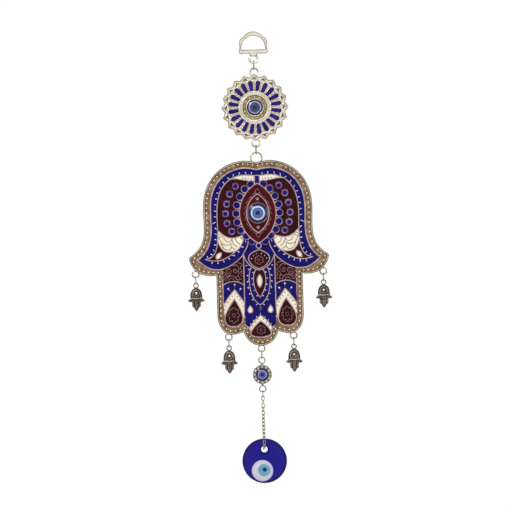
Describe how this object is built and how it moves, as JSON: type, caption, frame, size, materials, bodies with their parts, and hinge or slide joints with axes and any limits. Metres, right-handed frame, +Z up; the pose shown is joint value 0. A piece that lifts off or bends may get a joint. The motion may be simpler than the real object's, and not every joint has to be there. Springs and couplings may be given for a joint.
{
  "type": "hamsa hand wall hanging",
  "caption": "Enamelled hamsa hand ornament that hangs from a nail, with an eye medallion above it and hand charms, an eye pendant and a glass eye bead on a chain below it.",
  "frame": {"origin": "the inside of the top of the hanger's opening, in the middle of its thickness, where the nail carries it", "axes": "+Z up, +X to the right as seen from the front, the front faces -Y"},
  "size_m": [0.1134, 0.011, 0.3542],
  "materials": {
    "antique_gold": "antique pale gold plating, satin, darkened in the recesses",
    "antique_silver": "antique silver plating, darkened in the recesses",
    "clear_stone": "clear stone with a foiled back",
    "enamel_blue": "glossy dark blue enamel",
    "enamel_maroon": "glossy maroon enamel",
    "enamel_red": "glossy red enamel",
    "enamel_cream": "glossy cream enamel",
    "enamel_violet": "glossy violet-blue enamel",
    "eye_dark": "dark blue glass",
    "eye_white": "white glass",
    "eye_blue": "light blue glass",
    "eye_black": "black glass",
    "cobalt_glass": "clear cobalt blue glass"
  },
  "bodies": {
    "hanger": {"hanger": "antique_gold"},
    "hanger_link": {"hanger_link": "antique_gold"},
    "medallion": {"medallion_plate": "antique_gold", "medallion_enamel": "enamel_violet", "medallion_eye_rim": "eye_dark", "medallion_eye_white": "eye_white", "medallion_eye_iris": "eye_blue", "medallion_eye_pupil": "eye_black"},
    "medallion_link": {"medallion_link": "antique_gold"},
    "hand": {"hand_plate": "antique_gold", "enamel_palm_blue": "enamel_blue", "enamel_palm_maroon": "enamel_maroon", "enamel_palm_cream": "enamel_cream", "enamel_mandorla_red": "enamel_red", "enamel_finger_blue": "enamel_blue", "enamel_finger_maroon": "enamel_maroon", "enamel_finger_cream": "enamel_cream", "hand_eye_rim": "eye_dark", "hand_eye_white": "eye_white", "hand_eye_iris": "eye_blue", "hand_eye_pupil": "eye_black"},
    "thumb_charm_left_link": {"thumb_charm_left_link": "antique_gold"},
    "thumb_charm_left": {"thumb_charm_left": "antique_silver", "thumb_charm_left_stone": "clear_stone"},
    "thumb_charm_right_link": {"thumb_charm_right_link": "antique_gold"},
    "thumb_charm_right": {"thumb_charm_right": "antique_silver", "thumb_charm_right_stone": "clear_stone"},
    "finger_charm_left_link": {"finger_charm_left_link": "antique_gold"},
    "finger_charm_left": {"finger_charm_left": "antique_silver", "finger_charm_left_stone": "clear_stone"},
    "finger_charm_right_link": {"finger_charm_right_link": "antique_gold"},
    "finger_charm_right": {"finger_charm_right": "antique_silver", "finger_charm_right_stone": "clear_stone"},
    "pendant_link": {"pendant_link": "antique_gold"},
    "pendant": {"pendant_bezel": "antique_gold", "pendant_crystals": "clear_stone", "pendant_eye_rim": "eye_dark", "pendant_eye_white": "eye_white", "pendant_eye_iris": "eye_blue", "pendant_eye_pupil": "eye_black"},
    "chain_ring": {"chain_ring": "antique_gold"},
    "chain_upper": {"chain_upper": "antique_gold"},
    "chain_middle": {"chain_middle": "antique_gold"},
    "chain_lower": {"chain_lower": "antique_gold"},
    "bead": {"bead_glass": "cobalt_glass", "bead_white": "eye_white", "bead_iris": "eye_blue", "bead_pupil": "eye_black"}
  },
  "joints": [
    {"name": "hanger_link_swing", "type": "hinge", "parent": "hanger", "child": "hanger_link", "pos_m": [0, 0, -0.0217], "axis": [1, 0, 0], "range_deg": [-45, 45]},
    {"name": "medallion_swing", "type": "hinge", "parent": "hanger_link", "child": "medallion", "pos_m": [0, 0, -0.027], "axis": [0, 1, 0], "range_deg": [-40, 40]},
    {"name": "medallion_link_swing", "type": "hinge", "parent": "medallion", "child": "medallion_link", "pos_m": [0, 0, -0.0875], "axis": [1, 0, 0], "range_deg": [-45, 45]},
    {"name": "hand_swing", "type": "hinge", "parent": "medallion_link", "child": "hand", "pos_m": [0, 0, -0.0931], "axis": [0, 1, 0], "range_deg": [-40, 40]},
    {"name": "thumb_charm_left_link_swing", "type": "hinge", "parent": "hand", "child": "thumb_charm_left_link", "pos_m": [-0.05008, 0, -0.18894], "axis": [1, 0, 0], "range_deg": [-60, 60]},
    {"name": "thumb_charm_left_swing", "type": "hinge", "parent": "thumb_charm_left_link", "child": "thumb_charm_left", "pos_m": [-0.05008, 0, -0.19424], "axis": [0, 1, 0], "range_deg": [-35, 45]},
    {"name": "thumb_charm_right_link_swing", "type": "hinge", "parent": "hand", "child": "thumb_charm_right_link", "pos_m": [0.05008, 0, -0.18894], "axis": [1, 0, 0], "range_deg": [-60, 60]},
    {"name": "thumb_charm_right_swing", "type": "hinge", "parent": "thumb_charm_right_link", "child": "thumb_charm_right", "pos_m": [0.05008, 0, -0.19424], "axis": [0, 1, 0], "range_deg": [-45, 35]},
    {"name": "finger_charm_left_link_swing", "type": "hinge", "parent": "hand", "child": "finger_charm_left_link", "pos_m": [-0.02546, 0, -0.23877], "axis": [1, 0, 0], "range_deg": [-60, 60]},
    {"name": "finger_charm_left_swing", "type": "hinge", "parent": "finger_charm_left_link", "child": "finger_charm_left", "pos_m": [-0.02546, 0, -0.24407], "axis": [0, 1, 0], "range_deg": [-25, 25]},
    {"name": "finger_charm_right_link_swing", "type": "hinge", "parent": "hand", "child": "finger_charm_right_link", "pos_m": [0.02546, 0, -0.23877], "axis": [1, 0, 0], "range_deg": [-60, 60]},
    {"name": "finger_charm_right_swing", "type": "hinge", "parent": "finger_charm_right_link", "child": "finger_charm_right", "pos_m": [0.02546, 0, -0.24407], "axis": [0, 1, 0], "range_deg": [-25, 25]},
    {"name": "pendant_link_swing", "type": "hinge", "parent": "hand", "child": "pendant_link", "pos_m": [0, 0, -0.24835], "axis": [1, 0, 0], "range_deg": [-45, 45]},
    {"name": "pendant_swing", "type": "hinge", "parent": "pendant_link", "child": "pendant", "pos_m": [0, 0, -0.25365], "axis": [0, 1, 0], "range_deg": [-20, 20]},
    {"name": "chain_ring_swing", "type": "hinge", "parent": "pendant", "child": "chain_ring", "pos_m": [0, 0, -0.27995], "axis": [1, 0, 0], "range_deg": [-45, 45]},
    {"name": "chain_upper_swing", "type": "hinge", "parent": "chain_ring", "child": "chain_upper", "pos_m": [0, 0, -0.28414], "axis": [0, 1, 0], "range_deg": [-20, 20]},
    {"name": "chain_middle_swing", "type": "hinge", "parent": "chain_upper", "child": "chain_middle", "pos_m": [0, 0, -0.29798], "axis": [0, 1, 0], "range_deg": [-15, 15]},
    {"name": "chain_lower_swing", "type": "hinge", "parent": "chain_middle", "child": "chain_lower", "pos_m": [0, 0, -0.31243], "axis": [0, 1, 0], "range_deg": [-15, 15]},
    {"name": "bead_swing", "type": "hinge", "parent": "chain_lower", "child": "bead", "pos_m": [0, 0, -0.32422], "axis": [0, 1, 0], "range_deg": [-20, 20]}
  ]
}
